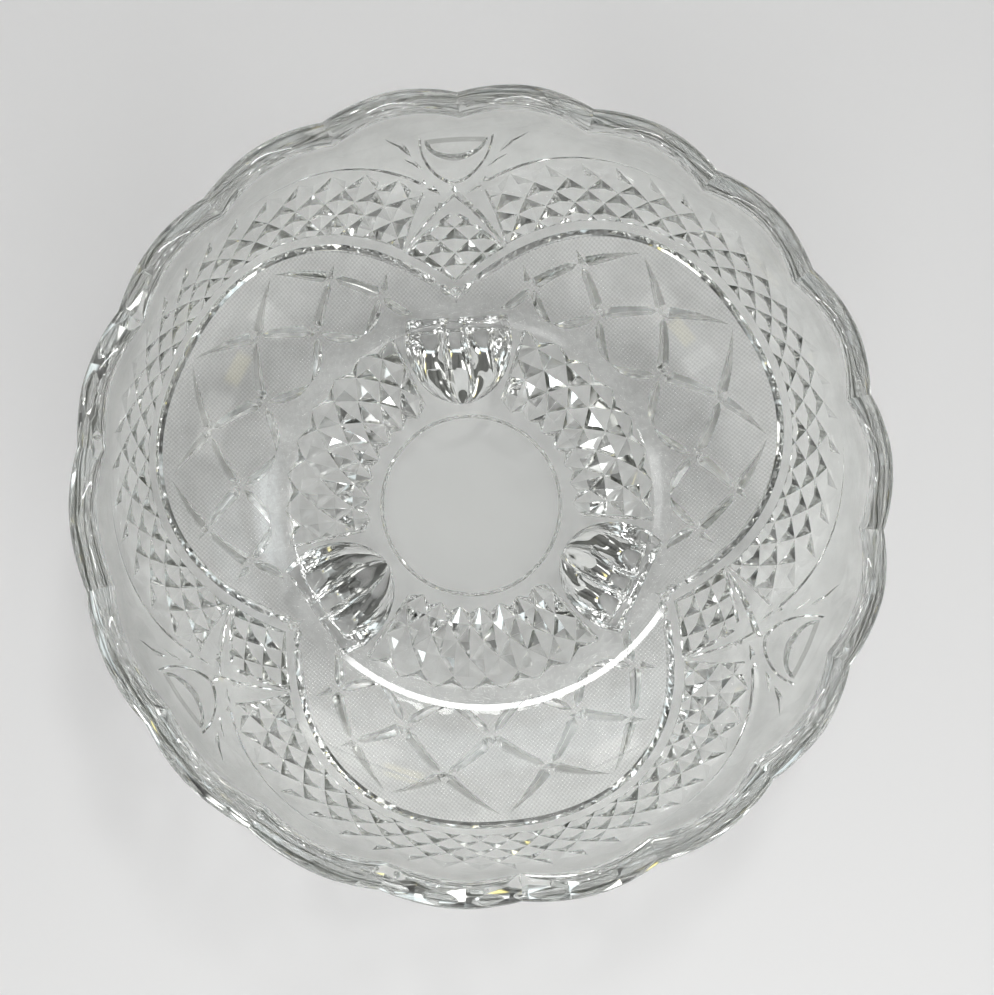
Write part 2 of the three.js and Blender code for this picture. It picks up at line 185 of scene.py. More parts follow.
def outside_ring(turn, run):
    """Millimetres outside the medallion's ring, negative within it."""
    turn, run = np.abs(np.asarray(turn, float)), np.asarray(run, float)
    near = np.full(turn.shape, FAR)
    for (t0, r0), (t1, r1) in zip(ring_line[:-1], ring_line[1:]):
        scale = arm((run + r0) / 2)
        ax, ay = (turn - t0) * scale, run - r0
        bx, by = (t1 - t0) * scale, r1 - r0
        share = np.clip((ax * bx + ay * by) / (bx * bx + by * by), 0, 1)
        near = np.minimum(near, np.hypot(ax - share * bx, ay - share * by))
    radius = profile(run)[0]
    x = np.abs(radius * np.sin(np.radians(turn))) / MEDALLION_ACROSS
    y = np.abs(radius * np.cos(np.radians(turn)) - MEDALLION_CENTRE) / MEDALLION_ALONG
    return np.where(x**MEDALLION_POWER + y**MEDALLION_POWER < 1, -near, near)


for side, sunk in ((-1, 0), (0, 1), (1, 0)):
    mark(np.c_[ring_points(side * RING_HALF), np.full(RING_STEPS, sunk * RING_DEPTH)])
pockets.append(np.concatenate([ring_points(-RING_HALF), ring_points(RING_HALF)[::-1]]))

# Lattice: rows of crossings, from the top down. Each has its run in the middle, how far it drops
# to the sides, and the columns that it crosses. Cuts lead from each down to two of the next row.
LATTICE = (
    (58.8, 0.65, (-2, 0, 2)),
    (49.6, 0.16, (-3, -1, 1, 3)),
    (41.5, 0.03, (-4, -2, 0, 2, 4)),
    (36.2, 0.0, (-5, -3, -1, 1, 3, 5)),
)
COLUMN = 11.2
COLUMN_CLOSING = 0.07
CUT_DEPTH = 1.3
CUT_STOP = 0.2
CUT_CLOSING = 0.3
CUT_LEAN = 0.3
EIGHTHS = np.linspace(0, 1, 9)


def lattice_node(row, column):
    run, drop, _ = LATTICE[row]
    turn = COLUMN * column - COLUMN_CLOSING * column**3
    return np.array([turn, run - drop * column * column])


def lattice_cuts(row):
    """The side that each cut below a row leads to, and the crossings at its top and its end."""
    for column in LATTICE[row][2]:
        for side in (-1, 1):
            yield side, lattice_node(row, column), lattice_node(row + 1, column + side)


# A cut starts as a point a little below its crossing, and ends blunt or as a point again.
for side, top, low in lattice_cuts(0):
    keel = top + (low - top) * (0.03 + 0.97 * EIGHTHS)[:, None]
    half = np.interp(EIGHTHS, [0, 0.5, 1], [0.0, 0.72, 1.18])
    wheel_cut(keel, half, half * CUT_DEPTH, blunt=low[1] + CUT_STOP, closing=CUT_CLOSING)
for side, top, low in lattice_cuts(1):
    keel = top + (low - top) * (0.04 + 0.96 * EIGHTHS)[:, None] + [side * CUT_LEAN, 0]
    half = np.interp(EIGHTHS, [0, 0.1, 0.8, 1], [0.0, 0.72, 1.1, 1.05])
    wheel_cut(keel, half, half * CUT_DEPTH, blunt=low[1] + CUT_STOP, closing=CUT_CLOSING)
for side, top, low in lattice_cuts(2):
    fallen = 0.03 + 0.93 * EIGHTHS
    turn = top[0] + (low[0] - top[0]) * fallen
    run = low[1] + (top[1] - low[1]) * (1 - fallen) ** 2
    keel = np.stack([turn, run], -1)
    keel += [side * CUT_LEAN, -CUT_LEAN]
    half = np.interp(EIGHTHS, [0, 0.15, 0.6, 1], [0.0, 0.85, 0.75, 0.0])
    wheel_cut(keel, half, half * CUT_DEPTH)

# The outermost cuts run out into the ring.
for top, low in (((33.7, 50.5), (30.6, 47.9)), ((43.8, 44.6), (41.1, 40.9))):
    half = np.interp(EIGHTHS, [0, 1], [0.0, 0.9])
    wheel_cut(np.linspace(top, low, 9), half, half * CUT_DEPTH, blunt=low[1] + CUT_LEAN)

# Crescents: a belt of diamond points over each medallion, four-sided pyramids that stand in
# crossing V grooves. Columns of the lattice count out from the middle and rows count upwards,
# the grooves cross where column and row add to an even number, and a pyramid stands between.
CRESCENT_ROWS = (-1, 0, 1, 2, 3)
CRESCENT_COLUMNS = 25
CRESCENT_TOP = 3.0
CRESCENT_FLANK = 3.5
CRESCENT_ROW = 2.2
END_TURN = 54.5
END_RUN = 59.5
END_RISE, END_SHIFT = 11, 6.0
END_FLANK = 0.55
FIELD_WALL = 0.45
KEEL_SLANT = 0.72
TIP_DEPTH = 0.1

# A field has the place of each column and row, the depth of its grooves, the rows at which they
# run out, and how far inside its border a place lies. The tips of its points are a little sunk.
fields = []


def points_depth(field, turn, run):
    """The column and row of each place, and how deep the surface of the field lies there."""
    column, row = np.zeros(np.shape(turn)), np.zeros(np.shape(turn))
    step = 1e-3
    for _ in range(12):
        at = field["place"](column, row)
        by_column = [(b - a) / step for a, b in zip(at, field["place"](column + step, row))]
        by_row = [(b - a) / step for a, b in zip(at, field["place"](column, row + step))]
        off = turn - at[0], run - at[1]
        area = by_column[0] * by_row[1] - by_row[0] * by_column[1]
        column = column + (off[0] * by_row[1] - off[1] * by_row[0]) / area
        row = row + (off[1] * by_column[0] - off[0] * by_column[1]) / area
    one, other = (row + column) / 2, (row - column) / 2
    rise = 2 * np.minimum(np.abs(one - np.round(one)), np.abs(other - np.round(other)))
    first, last = field["ends"]
    groove = field["depth"] * np.clip(np.minimum(row - first, last - row), 0, 1)
    return column, row, groove - np.maximum(groove - TIP_DEPTH, 0) * np.clip(rise, 0, 1)


def field_depth(field, turn, run):
    """The depth of a field, which falls to nothing over the outer flank at its border."""
    deep = points_depth(field, turn, run)[2]
    return deep * np.clip(1 + field["inside"](turn, run) / FIELD_WALL, 0, 1)


def press_field(field, columns, rows, borders):
    """Marks the grooves and the pyramids' ridges of a field, and the borders where it stops."""
    fields.append(field)

    def near(turn, run):
        return np.minimum(in_half(turn, run), field["inside"](turn, run) + FIELD_WALL)

    for row in rows:
        for column in columns:
            if (row + column) % 2 == 0:
                continue
            corners = [(column, row + 1), (column + 1, row), (column, row - 1), (column - 1, row)]
            for i, corner in enumerate(corners):
                for start, end in ((corner, corners[i - 1]), ((column, row), corner)):
                    along = [a + (b - a) * EIGHTHS for a, b in zip(start, end)]
                    turn, run = field["place"](*along)
                    used = [0, 8] if near(turn, run).min() >= 0 else range(9)
                    mark(np.stack([turn, run, turn * np.nan], -1)[list(used)], near)
    for border in borders:
        mark(np.c_[border, border[:, 0] * np.nan])


def crescent_place(column, row):
    """The turn and run of a column and row. The rows sink and spread out to the sides."""
    turn = column * (2.438 + 0.087 * row)
    turn = turn - 0.123e-3 * column**3 + 0.33e-4 * row * column**3
    run = 65.616 + 2.194 * row - 0.006 * row * row
    run = run + (0.311 * row - 3.453) * 1e-2 * column**2
    return turn, run - (0.616 + 0.992 * row) * 1e-5 * column**4


def crescent_end(run, off=0):
    """The turn at which the crescent stops in a slanting end, or off degrees past it."""
    return END_TURN + off + (run - END_RUN) / END_RISE * END_SHIFT


def zigzag(column):
    """0 at every odd column and 1 at every even one, with straight flanks between them."""
    return np.abs(1 - np.mod(column, 2))


def border(distance, low, high, pitch):
    """Millimetres inside a zigzag border of keels (low), falling to a full wall's width at the
    edge of its outer flank (high), from a distance in rows that grows outwards."""
    flank = (distance - low) / np.maximum(high - low, 0.03)
    return np.where(distance < low, (low - distance) * pitch * KEEL_SLANT, -flank * FIELD_WALL)


def crescent_inside(turn, run):
    column, row, _ = points_depth(crescent, turn, run)
    tooth = zigzag(column)
    flank = CRESCENT_FLANK + (4 - CRESCENT_FLANK) * tooth
    below_top = border(row, CRESCENT_TOP + tooth, flank, CRESCENT_ROW)
    before_end = (crescent_end(run) - np.abs(turn)) * arm(run) * 0.9
    return np.minimum(np.minimum(below_top, before_end), outside_ring(turn, run) - BAND)


crescent = {"place": crescent_place, "depth": 1.45, "ends": (-9, 4), "inside": crescent_inside}
columns = np.arange(0, CRESCENT_COLUMNS)
borders = []
for low in (CRESCENT_TOP, CRESCENT_FLANK):
    borders.append(np.stack(crescent_place(columns, low + (4 - low) * zigzag(columns)), -1))
run = np.linspace(47, 60.2, 15)
borders += [np.stack([crescent_end(run, off), run], -1) for off in (0, END_FLANK)]
borders += [ring_points(BAND), ring_points(BAND - FIELD_WALL)]
press_field(crescent, range(0, CRESCENT_COLUMNS), CRESCENT_ROWS, borders)

# Arcs: a fine line over each crescent, which swells to a lens near each foot, in the mould too.
ARC_RUN = 74
turn = np.linspace(24, 57.6, 20)
arc = np.stack([turn, ARC_RUN - 0.0007 * turn**2 - 1.29e-6 * turn**4], -1)
half = np.interp(turn, [24, 34, 42, 50, 56, 57.6], [0.0, 0.34, 0.6, 0.85, 0.6, 0.0])
wheel_cut(arc, half, half * 0.95)

# Base: the plain round middle that shows the table, a row of fine beads round it, and a wide
# belt of larger diamond points between the feet.
BEAD_RUN = 15.7
BEAD_HALF = 0.3
BASE_FIRST = 17.8
BASE_ROW = 3.04
BASE_COLUMN = 5.4545
BASE_COLUMNS = 9
BASE_END = 38.5
BASE_OUTER = 0.58
BASE_INNER = 0.62
turn = np.linspace(0, HALF_SECTOR, 41)
beads = 0.36 + 0.14 * (np.arange(41) % 2)
for side, deep in ((-1, turn * 0), (0, beads), (1, turn * 0)):
    mark(np.c_[turn, turn * 0 + BEAD_RUN + side * BEAD_HALF, deep])


def base_place(column, row):
    return BASE_COLUMN * column, BASE_FIRST + BASE_ROW * row + column * 0


def base_inside(turn, run):
    column, row, _ = points_depth(base_field, turn, run)
    tooth = zigzag(column)
    side = (BASE_END - np.abs(turn)) * arm(run)
    outer = border(row, 5 - tooth, 5 - BASE_OUTER * tooth, BASE_ROW)
    inner = border(-row, tooth - 1, BASE_INNER * tooth - BASE_INNER, BASE_ROW)
    return np.minimum(np.minimum(outer, inner), side)


base_field = {"place": base_place, "depth": 1.62, "ends": (0, 5), "inside": base_inside}
columns = np.arange(0, BASE_COLUMNS)
tooth = zigzag(columns)
borders = []
for row in (5 - tooth, 5 - BASE_OUTER * tooth, 1 - tooth, 0.38 - 0.38 * tooth):
    borders.append(np.stack(base_place(columns, row), -1))
run = np.linspace(17, 34, 18)
borders += [np.stack([BASE_END + off / arm(run), run], -1) for off in (0, FIELD_WALL)]
press_field(base_field, range(0, BASE_COLUMNS), (1, 2, 3, 4), borders)

# Kites: over each foot two grooves fall from a point like a roof, with small diamond points and
# one round pearl under them. Places are given from the middle of the foot.
KITE_COLUMN = 3.15
KITE_FIRST = 41
KITE_ROW = 2.52
KITE_ROOF = 53.6
KITE_FALL = 0.62
KITE_SILL = 40.4
KITE_SPARE = 0.4
PEARL_RUN = 38.4


def from_foot(points):
    """Turns places from the middle of the foot into places from the medallion's middle."""
    points = np.asarray(points, float)
    return np.stack([HALF_SECTOR - points[:, 0], points[:, 1]], -1)


keel = np.linspace((0, 57.9), (11.4, 47.3), 12)
half = np.interp(np.linspace(0, 1, 12), [0, 0.6, 1], [0.66, 0.5, 0.08])
wheel_cut(from_foot(keel), half, half * 1.15)


def kite_place(column, row):
    return HALF_SECTOR - KITE_COLUMN * column, KITE_FIRST + KITE_ROW * row + column * 0


def kite_inside(turn, run):
    side = np.abs(HALF_SECTOR - turn)
    roof = (KITE_ROOF - KITE_FALL * side - run) * 0.85
    skirt = outside_ring(turn, run) - BAND + KITE_SPARE
    return np.minimum(np.minimum(roof, run - KITE_SILL), skirt)


kite_field = {"place": kite_place, "depth": 1.3, "ends": (-9, 99), "inside": kite_inside}
side = np.linspace(0, 10, 11)
borders = []
for run in (KITE_ROOF - KITE_FALL * side, KITE_ROOF + 0.53 - KITE_FALL * side):
    borders.append(from_foot(np.stack([side, run], -1)))
for run in (KITE_SILL, 39.95):
    borders.append(from_foot(np.stack([side, side * 0 + run], -1)))
borders += [ring_points(BAND - KITE_SPARE), ring_points(BAND - KITE_SPARE - FIELD_WALL)]
press_field(kite_field, range(0, 4), (0, 1, 2, 3, 4, 5), borders)

# Shields: over each kite a shallow flat hollow with a level top and a pointed foot, with a deeper
# one in its upper half whose side is soft and wide, and two leaves beside it. A hollow has half
# its width, its top, its foot, how blunt it is, and its depth at each inset from the outline.
SHIELDS = (
    (6.5, 71.7, 59.6, 0.6, ((0, 0), (0.42, 0.36))),
    (5.5, 71.0, 65.0, 0.62, ((0, 0.36), (0.3, 0.52), (0.62, 0.98), (0.95, 1.16))),
)
FOOT_INSET = 3.1
FOOT_ROOM = 2.1
DOT_GAP = 0.9
DOT_CLEAR = 0.3
LEAVES = (
    (((7.4, 67.2), (9.0, 70.6), (11.4, 73.3)), 0.55),
    (((5.7, 63.6), (7.0, 65.6), (8.7, 67.0)), 0.4),
)


def dish_line(dish, inset):
    """The outline of half a hollow, drawn in by inset, as (turn, run)."""
    wide, top, low, power = dish[:4]
    fallen = np.sin(np.linspace(0, np.pi / 2, 22))
    run = top - inset - fallen * (top - low - FOOT_INSET * inset)
    side = (wide - inset) * (1 - fallen**2) ** power
    flat_top = np.linspace(0, wide - inset, 8)[:-1]
    side, run = np.r_[flat_top, side], np.r_[flat_top * 0 + top - inset, run]
    return np.stack([HALF_SECTOR - side / arm(run), run], -1)


def dish_room(dish, inset, turn, run):
    """Millimetres inside that outline, roughly, and negative outside it."""
    wide, top, low, power = dish[:4]
    fallen = np.clip((top - inset - run) / (top - low - FOOT_INSET * inset), 0, 1)
    side = (wide - inset) * (1 - fallen**2) ** power - np.abs(HALF_SECTOR - turn) * arm(run)
    return np.minimum(side * 0.8, np.minimum(top - inset - run, run - low - FOOT_ROOM * inset))


across, up = np.meshgrid(np.arange(0, 6.4, DOT_GAP), np.arange(60.2, 71.6, DOT_GAP))
dots = np.stack([HALF_SECTOR - across.ravel() / arm(up.ravel()), up.ravel()], -1)
shield_dots = []
for dish, next_dish in zip(SHIELDS, SHIELDS[1:] + (None,)):
    for inset, sunk in dish[4]:
        outline = dish_line(dish, inset)
        mark(np.c_[outline, np.full(len(outline), sunk)])
    free = dish_room(dish, inset, dots[:, 0], dots[:, 1]) > DOT_CLEAR
    if next_dish:
        free &= dish_room(next_dish, 0, dots[:, 0], dots[:, 1]) < -DOT_CLEAR
    shield_dots.append(np.c_[dots[free], np.full(free.sum(), sunk)])
pockets.append(dish_line(SHIELDS[0], -0.2))
for leaf, thick in LEAVES:
    keel = [np.interp(EIGHTHS, [0, 0.5, 1], [p[i] for p in leaf]) for i in (0, 1)]
    half = thick * np.sin(np.pi * EIGHTHS) ** 0.8
    wheel_cut(from_foot(np.stack(keel, -1)), half, half * 0.9)
pearl = np.radians(np.linspace(0, 180, 9))
for reach, lift in ((1.0, 0), (0.75, -0.45), (0.4, -0.7)):
    turn, run = reach * np.sin(pearl) / arm(PEARL_RUN), PEARL_RUN - reach * np.cos(pearl)
    circle = from_foot(np.stack([turn, run], -1))
    mark(np.c_[circle, circle[:, 0] * 0 + lift])
    if not lift:
        pockets.append(circle)

# Mould surface: the marks of the half medallion are joined by triangles, the plain glass gets
# evenly spread points, and six copies, every other one mirrored, close the outside.
FLAT = 0.85
POINT_GAP = 1.25
POCKET_SPARE = 0.3
FIELD_SPARE = 0.25
SNAP = 0.02
WELD = 2e-3


def within(outline, points):
    """Whether each point lies in the outline, or not far outside it."""
    x, y = points[:, 0], points[:, 1]
    inside = np.zeros(len(points), bool)
    near = np.full(len(points), FAR)
    ring = np.concatenate([outline, outline[:1]])
    for (x0, y0), (x1, y1) in zip(ring[:-1], ring[1:]):
        if y0 != y1:
            inside ^= ((y0 > y) != (y1 > y)) & (x < (x1 - x0) * (y - y0) / (y1 - y0) + x0)
        bx, by = (x1 - x0) * FLAT, y1 - y0
        ax, ay = (x - x0) * FLAT, y - y0
        share = np.clip((ax * bx + ay * by) / max(bx * bx + by * by, 1e-12), 0, 1)
        near = np.minimum(near, np.hypot(ax - share * bx, ay - share * by))
    return inside | (near < POCKET_SPARE)


fill = []
for i, run in enumerate(np.arange(DISC_RUN + 1.2, RIM_RUN - 0.6, POINT_GAP)):
    gap = POINT_GAP / float(arm(run))
    count = max(8, round(HALF_SECTOR / gap))
    fill.extend((HALF_SECTOR * (k + 0.5 * (i % 2)) / count, run) for k in range(count + 1))
fill = np.array([p for p in fill if p[0] <= HALF_SECTOR])
keep = np.ones(len(fill), bool)
for outline in pockets:
    keep &= ~within(outline, fill)
for field in fields:
    keep &= field["inside"](fill[:, 0], fill[:, 1]) < -FIELD_WALL - FIELD_SPARE
edge_low = np.stack([np.linspace(0, HALF_SECTOR, 25), np.full(25, DISC_RUN)], -1)
edge_top = np.stack([np.linspace(0, HALF_SECTOR, 61), np.full(61, RIM_RUN)], -1)
plain = np.concatenate([fill[keep], edge_low, edge_top])
drawn = np.concatenate([np.array(marks), np.c_[plain, np.zeros(len(plain))]] + shield_dots)
for column, edges in ((0, (0, HALF_SECTOR)), (1, (DISC_RUN, RIM_RUN))):
    for edge in edges:
        drawn[np.abs(drawn[:, column] - edge) < SNAP, column] = edge
flat, _, faces, came, _, _ = delaunay_2d_cdt(
    [Vector((turn * FLAT, run)) for turn, run in drawn[:, :2]], lines, [], 0, WELD, True
)
flat = np.array([(p[0] / FLAT, p[1]) for p in flat])
deep = np.zeros(len(flat))
for i, sources in enumerate(came):
    known = [drawn[s, 2] for s in sources if not math.isnan(drawn[s, 2])]
    deep[i] = (min(known) if min(known) < 0 else max(known)) if known else 0
for field in fields:
    pressed = np.maximum(deep, field_depth(field, flat[:, 0], flat[:, 1]))
    deep = np.where(deep < 0, deep, pressed)
print("half medallion", len(flat), "points", len(faces), "faces")

vertices, polygons = [], []
for sector in range(3):
    for side in (-1, 1):
        first = sum(len(v) for v in vertices)
        middle = 60 + 120 * sector
        vertices.append(on_wall(middle + side * flat[:, 0], flat[:, 1], -deep))
        for face in faces:
            polygons.append([first + i for i in (face if side > 0 else face[::-1])])
turns = np.radians(np.arange(0, 360, 2.5))
first = sum(len(v) for v in vertices)
rim_of_disc = np.stack([DISC_RUN * np.sin(turns), DISC_RUN * np.cos(turns)], -1)
vertices.append(np.c_[rim_of_disc, np.full(len(turns), FOOT_HEIGHT)])
vertices.append(np.array([[0, 0, FOOT_HEIGHT]]))
for i in range(len(turns)):
    polygons.append([first + i, first + (i + 1) % len(turns), first + len(turns)])

# Rim and inside: the lip is rounded by fire-polishing, and the plunger leaves the inside smooth,
# with a tight corner where the flat floor turns up into the wall.
AROUND = 360
LIP_STEPS = 20
LIP_SQUARE = 3.0
LIP_LOW = 0.93
FLOOR_RINGS = (29, 22, 14, 6)
SCALLOPS = 18
NOTCH_DROP = 3.4
NOTCH_INSET = 0.9
NOTCH_POWER = 1.8
SCALLOP_START = 73.0
SCALLOP_POWER = 1.5
RIM_INSET = 0.13
lip_radius, lip_height, _ = profile(RIM_RUN)
lip_centre = np.array([
    lip_radius - GLASS / 2 * math.sin(RIM_SLOPE),
    lip_height + GLASS / 2 * math.cos(RIM_SLOPE),
])
section = []
for step in range(LIP_STEPS + 1):
    turn = math.pi * step / LIP_STEPS
    outward = math.copysign(abs(math.cos(turn)) ** (2 / LIP_SQUARE), math.cos(turn))
    upward = LIP_LOW * max(math.sin(turn), 0) ** (2 / LIP_SQUARE)
    radius = outward * math.sin(RIM_SLOPE) + upward * math.cos(RIM_SLOPE)
    height = upward * math.sin(RIM_SLOPE) - outward * math.cos(RIM_SLOPE)
    section.append(lip_centre + GLASS / 2 * np.array([radius, height]))
wall_runs = np.linspace(RIM_RUN, HEEL_RUN, 36)[1:]
heel_runs = np.linspace(HEEL_RUN, BASE_RADIUS, 9)[1:]
radius, height, slope = profile(np.concatenate([wall_runs, heel_runs]))
section.extend(np.stack([radius - GLASS * np.sin(slope), height + GLASS * np.cos(slope)], -1))
section.extend([(r, FOOT_HEIGHT + GLASS) for r in FLOOR_RINGS])
turns = np.radians(np.arange(AROUND))
first = sum(len(v) for v in vertices)
for radius, height in section:
    ring = np.stack([radius * np.sin(turns), radius * np.cos(turns)], -1)
    vertices.append(np.c_[ring, np.full(AROUND, height)])
vertices.append(np.array([[0, 0, FOOT_HEIGHT + GLASS]]))
for start in range(first, first + (len(section) - 1) * AROUND, AROUND):
    for i in range(AROUND):
        j = (i + 1) % AROUND
        polygons.append([start + i, start + j, start + AROUND + j, start + AROUND + i])
last = first + (len(section) - 1) * AROUND
polygons += [[last + i, last + (i + 1) % AROUND, last + AROUND] for i in range(AROUND)]

bowl_points = np.concatenate(vertices)
low, high = float(profile(SCALLOP_START)[1]), float(lip_centre[1] + GLASS / 2)
grown = np.clip((bowl_points[:, 2] - low) / (high - low), 0, 1) ** SCALLOP_POWER
round_turn = np.arctan2(bowl_points[:, 0], bowl_points[:, 1]) / (2 * np.pi) * SCALLOPS
notch = grown * np.abs(2 * np.mod(round_turn, 1) - 1) ** NOTCH_POWER
radius = np.maximum(np.hypot(bowl_points[:, 0], bowl_points[:, 1]), 1e-6)
drawn_in = radius - NOTCH_INSET * notch - RIM_INSET * grown
bowl_points[:, :2] *= (drawn_in / radius)[:, None]
bowl_points[:, 2] -= NOTCH_DROP * notch

# The mould side and the lip are never quite even: slow waves, a few hundredths of a millimetre
# high, that fade out below the lip on the inside.
WAVE = 0.05
WAVE_LENGTH = 5
WAVE_SEED = 5
INSIDE_FADE = 6
noise.seed_set(WAVE_SEED)
wave = np.array([noise.noise_vector(Vector(point) / WAVE_LENGTH) for point in bowl_points])
reach = np.maximum(np.hypot(bowl_points[:, 0], bowl_points[:, 1]), 1)
away = bowl_points[:, :2] / reach[:, None]
ring = (np.arange(len(bowl_points)) - first) // AROUND
uneven = np.clip(1 - (ring - LIP_STEPS) / INSIDE_FADE, 0, 1)
bowl_points[:, :2] += WAVE * (uneven * (wave[:, 0] - 1))[:, None] * away
bowl_points[:, 2] += WAVE * uneven * (wave[:, 2] - grown)


def open_edges(shape):
    return sum(not edge.is_manifold for edge in shape.edges)


def closed_mesh(name, points, polygons):
    """A mesh object in metres from points in millimetres, welded and facing outwards."""
    mesh = bpy.data.meshes.new(name)
    mesh.from_pydata(points.tolist(), [], polygons)
    shape = bmesh.new()
    shape.from_mesh(mesh)
    bmesh.ops.remove_doubles(shape, verts=shape.verts, dist=WELD)
    bmesh.ops.dissolve_degenerate(shape, edges=shape.edges, dist=1e-4)
    bmesh.ops.recalc_face_normals(shape, faces=shape.faces)
    print(name, len(shape.faces), "faces", open_edges(shape), "open edges")
    bmesh.ops.scale(shape, vec=(0.001, 0.001, 0.001), verts=shape.verts)
    shape.to_mesh(mesh)
    shape.free()
    made = bpy.data.objects.new(name, mesh)
    bpy.context.scene.collection.objects.link(made)
    return made


bowl = closed_mesh("bowl_glass", bowl_points, polygons)

# Feet: three blocks of solid glass pressed in one with the base. Each is an ellipse in plan, cut
# off flat outside, with three round ribs and an inner side that slopes up to the base. It stands
# on the ribs, which are worn flat there.
FEET = (("front", 0), ("right", -120), ("left", -240))
FOOT_RADIUS = 26.0
FOOT_INNER = -8.0
FOOT_OUTER = 7.6
FOOT_HALF = 9.5
FOOT_TOE = 7.6
FOOT_WIDEST = 0.76
FOOT_VALLEY = math.cos(math.radians(75))
FOOT_GROOVE = 3.0
FOOT_DEPTH = 12.3
FOOT_FLANK = 2.4
FOOT_RAMP = 14.7
FOOT_BEND = 2.5
FOOT_DROOP = 0.45
FOOT_IN_BASE = 3
RIB_CROWN = (1 + FOOT_VALLEY) / 2
FOOT_WAVE = 0.22
WAVE_STRETCH = (0.35, 0.12, 0.15)
ALONG, ROUND = 36, 96
HARD_EDGE = math.radians(14)


def smooth(x, low, high):
    """A soft step from 0 at low to 1 at high."""
    x = np.clip((x - low) / (high - low), 0, 1)
    return x * x * (3 - 2 * x)


def valley(aside):
    """How far a section of the foot lies between the crown of a rib, 0, and the valley, 1."""
    if aside > RIB_CROWN:
        return 0
    if aside > FOOT_VALLEY:
        return 1 - math.sqrt(1 - ((RIB_CROWN - aside) / (RIB_CROWN - FOOT_VALLEY)) ** 2)
    return 1 - (1 - (aside / FOOT_VALLEY) ** 3) ** (1 / 3)


def flank(aside):
    """The round outer half of a side rib, from 1 at its crown to 0 at the edge of the foot."""
    past = min(max((aside - RIB_CROWN) / (1 - RIB_CROWN), 0), 1)
    return (1 - past**FOOT_FLANK) ** (1 / FOOT_FLANK)


foot_points, foot_faces = [], []
for step in range(ALONG + 1):
    along = step / ALONG
    back = FOOT_INNER + (FOOT_OUTER - FOOT_INNER) * along
    half = FOOT_HALF * math.sqrt(max(0.02, 1 - (along / FOOT_WIDEST - 1) ** 2))
    ramp = 1 + FOOT_RAMP * along
    crown = min(ramp, FOOT_DEPTH) - max(FOOT_BEND - abs(ramp - FOOT_DEPTH), 0) ** 2 / 10
    crown *= 1 - FOOT_DROOP * smooth(along, 0.86, 1.05)
    for i in range(ROUND):
        turn = 2 * math.pi * i / ROUND
        side, down = math.cos(turn), math.sin(turn)
        if down < 1e-9:
            foot_points.append((side * half, back, FOOT_HEIGHT - FOOT_IN_BASE * down))
            continue
        across = min(half, half + (FOOT_TOE - half) * down)
        groove = FOOT_GROOVE * valley(abs(side)) * crown / FOOT_DEPTH
        reach = crown * flank(abs(side)) - groove
        foot_points.append((side * across, back, max(0, FOOT_HEIGHT - reach)))
for start in range(0, ALONG * ROUND, ROUND):
    for i in range(ROUND):
        j = (i + 1) % ROUND
        foot_faces.append([start + i, start + j, start + ROUND + j, start + ROUND + i])
foot_faces += [list(range(ROUND))[::-1], [ALONG * ROUND + i for i in range(ROUND)]]
foot_points = np.array(foot_points) + [0, FOOT_RADIUS, 0]
for place, angle in FEET:
    turned = foot_points @ np.array(Matrix.Rotation(math.radians(angle), 3, "Z")).T
    spots = [Vector(point * WAVE_STRETCH + angle) for point in foot_points]
    wave = np.array([noise.noise_vector(spot) for spot in spots])
    above_pad = smooth(turned[:, 2], 0.05, 1.5)
    free = above_pad * (1 - smooth(turned[:, 2], FOOT_HEIGHT - 1, FOOT_HEIGHT))
    turned = turned + FOOT_WAVE * free[:, None] * wave
    foot = closed_mesh("foot_" + place + "_glass", turned, foot_faces)
    union = bowl.modifiers.new("foot", "BOOLEAN")
    union.operation, union.solver, union.object = "UNION", "MANIFOLD", foot
    bpy.context.view_layer.objects.active = bowl
    bpy.ops.object.modifier_apply(modifier="foot")
    bpy.data.objects.remove(foot)

shape = bmesh.new()
shape.from_mesh(bowl.data)
for face in shape.faces:
    face.smooth = True
for edge in shape.edges:
    edge.smooth = len(edge.link_faces) == 2 and edge.calc_face_angle(0) < HARD_EDGE
print("whole", len(shape.faces), "faces", open_edges(shape), "open edges")
shape.to_mesh(bowl.data)
shape.free()
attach(bowl, "root")
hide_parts("bowl", "foot_front", "foot_right", "foot_left")

# Grain: the mould leaves a fine woven grain in the medallions' squares, a hammered one round the
# base, and faint blotches but for the plain middle. The cuts of the medallions and the sides of
# the shields' inner hollows get painted shade: their colour and reflection are greyed as if
# shade lay in them.
SQUARES_RUN = 37
CUTS_RUN = 35
BLOTCHED_RADIUS = 15
# Depths in millimetres of the cuts that get painted shade.
CUT_SHADE_FROM, CUT_SHADE_TO = 0.12, 2.3
centre_radius = BASE_RADIUS + (HEEL_RADIUS - WALL_RADIUS) * math.sin(HEEL_SLOPE)
centre_height = FOOT_HEIGHT + HEEL_RADIUS + (WALL_RADIUS - HEEL_RADIUS) * math.cos(HEEL_SLOPE)
spots = np.array([v.co for v in bowl.data.vertices]) * 1000
spot_radius = np.hypot(spots[:, 0], spots[:, 1])
from_centre = spot_radius - centre_radius, centre_height - spots[:, 2]
spot_run = HEEL_RUN + WALL_RADIUS * (np.arctan2(*from_centre) - HEEL_SLOPE)
spot_turn = np.mod(np.degrees(np.arctan2(spots[:, 0], spots[:, 1])), 120) - 60
sunk = WALL_RADIUS - np.hypot(*from_centre)
off_ring = outside_ring(spot_turn, spot_run)
on_mould = np.abs(sunk) < 0.2
in_cut = (sunk > CUT_SHADE_FROM) & (sunk < CUT_SHADE_TO)
in_medallion = (spot_run > CUTS_RUN) & (off_ring < RING_HALF + 0.1)
in_hollow, on_floor = (
    dish_room(SHIELDS[1], inset, np.abs(spot_turn), spot_run) > 0 for inset in (0.15, 0.8)
)
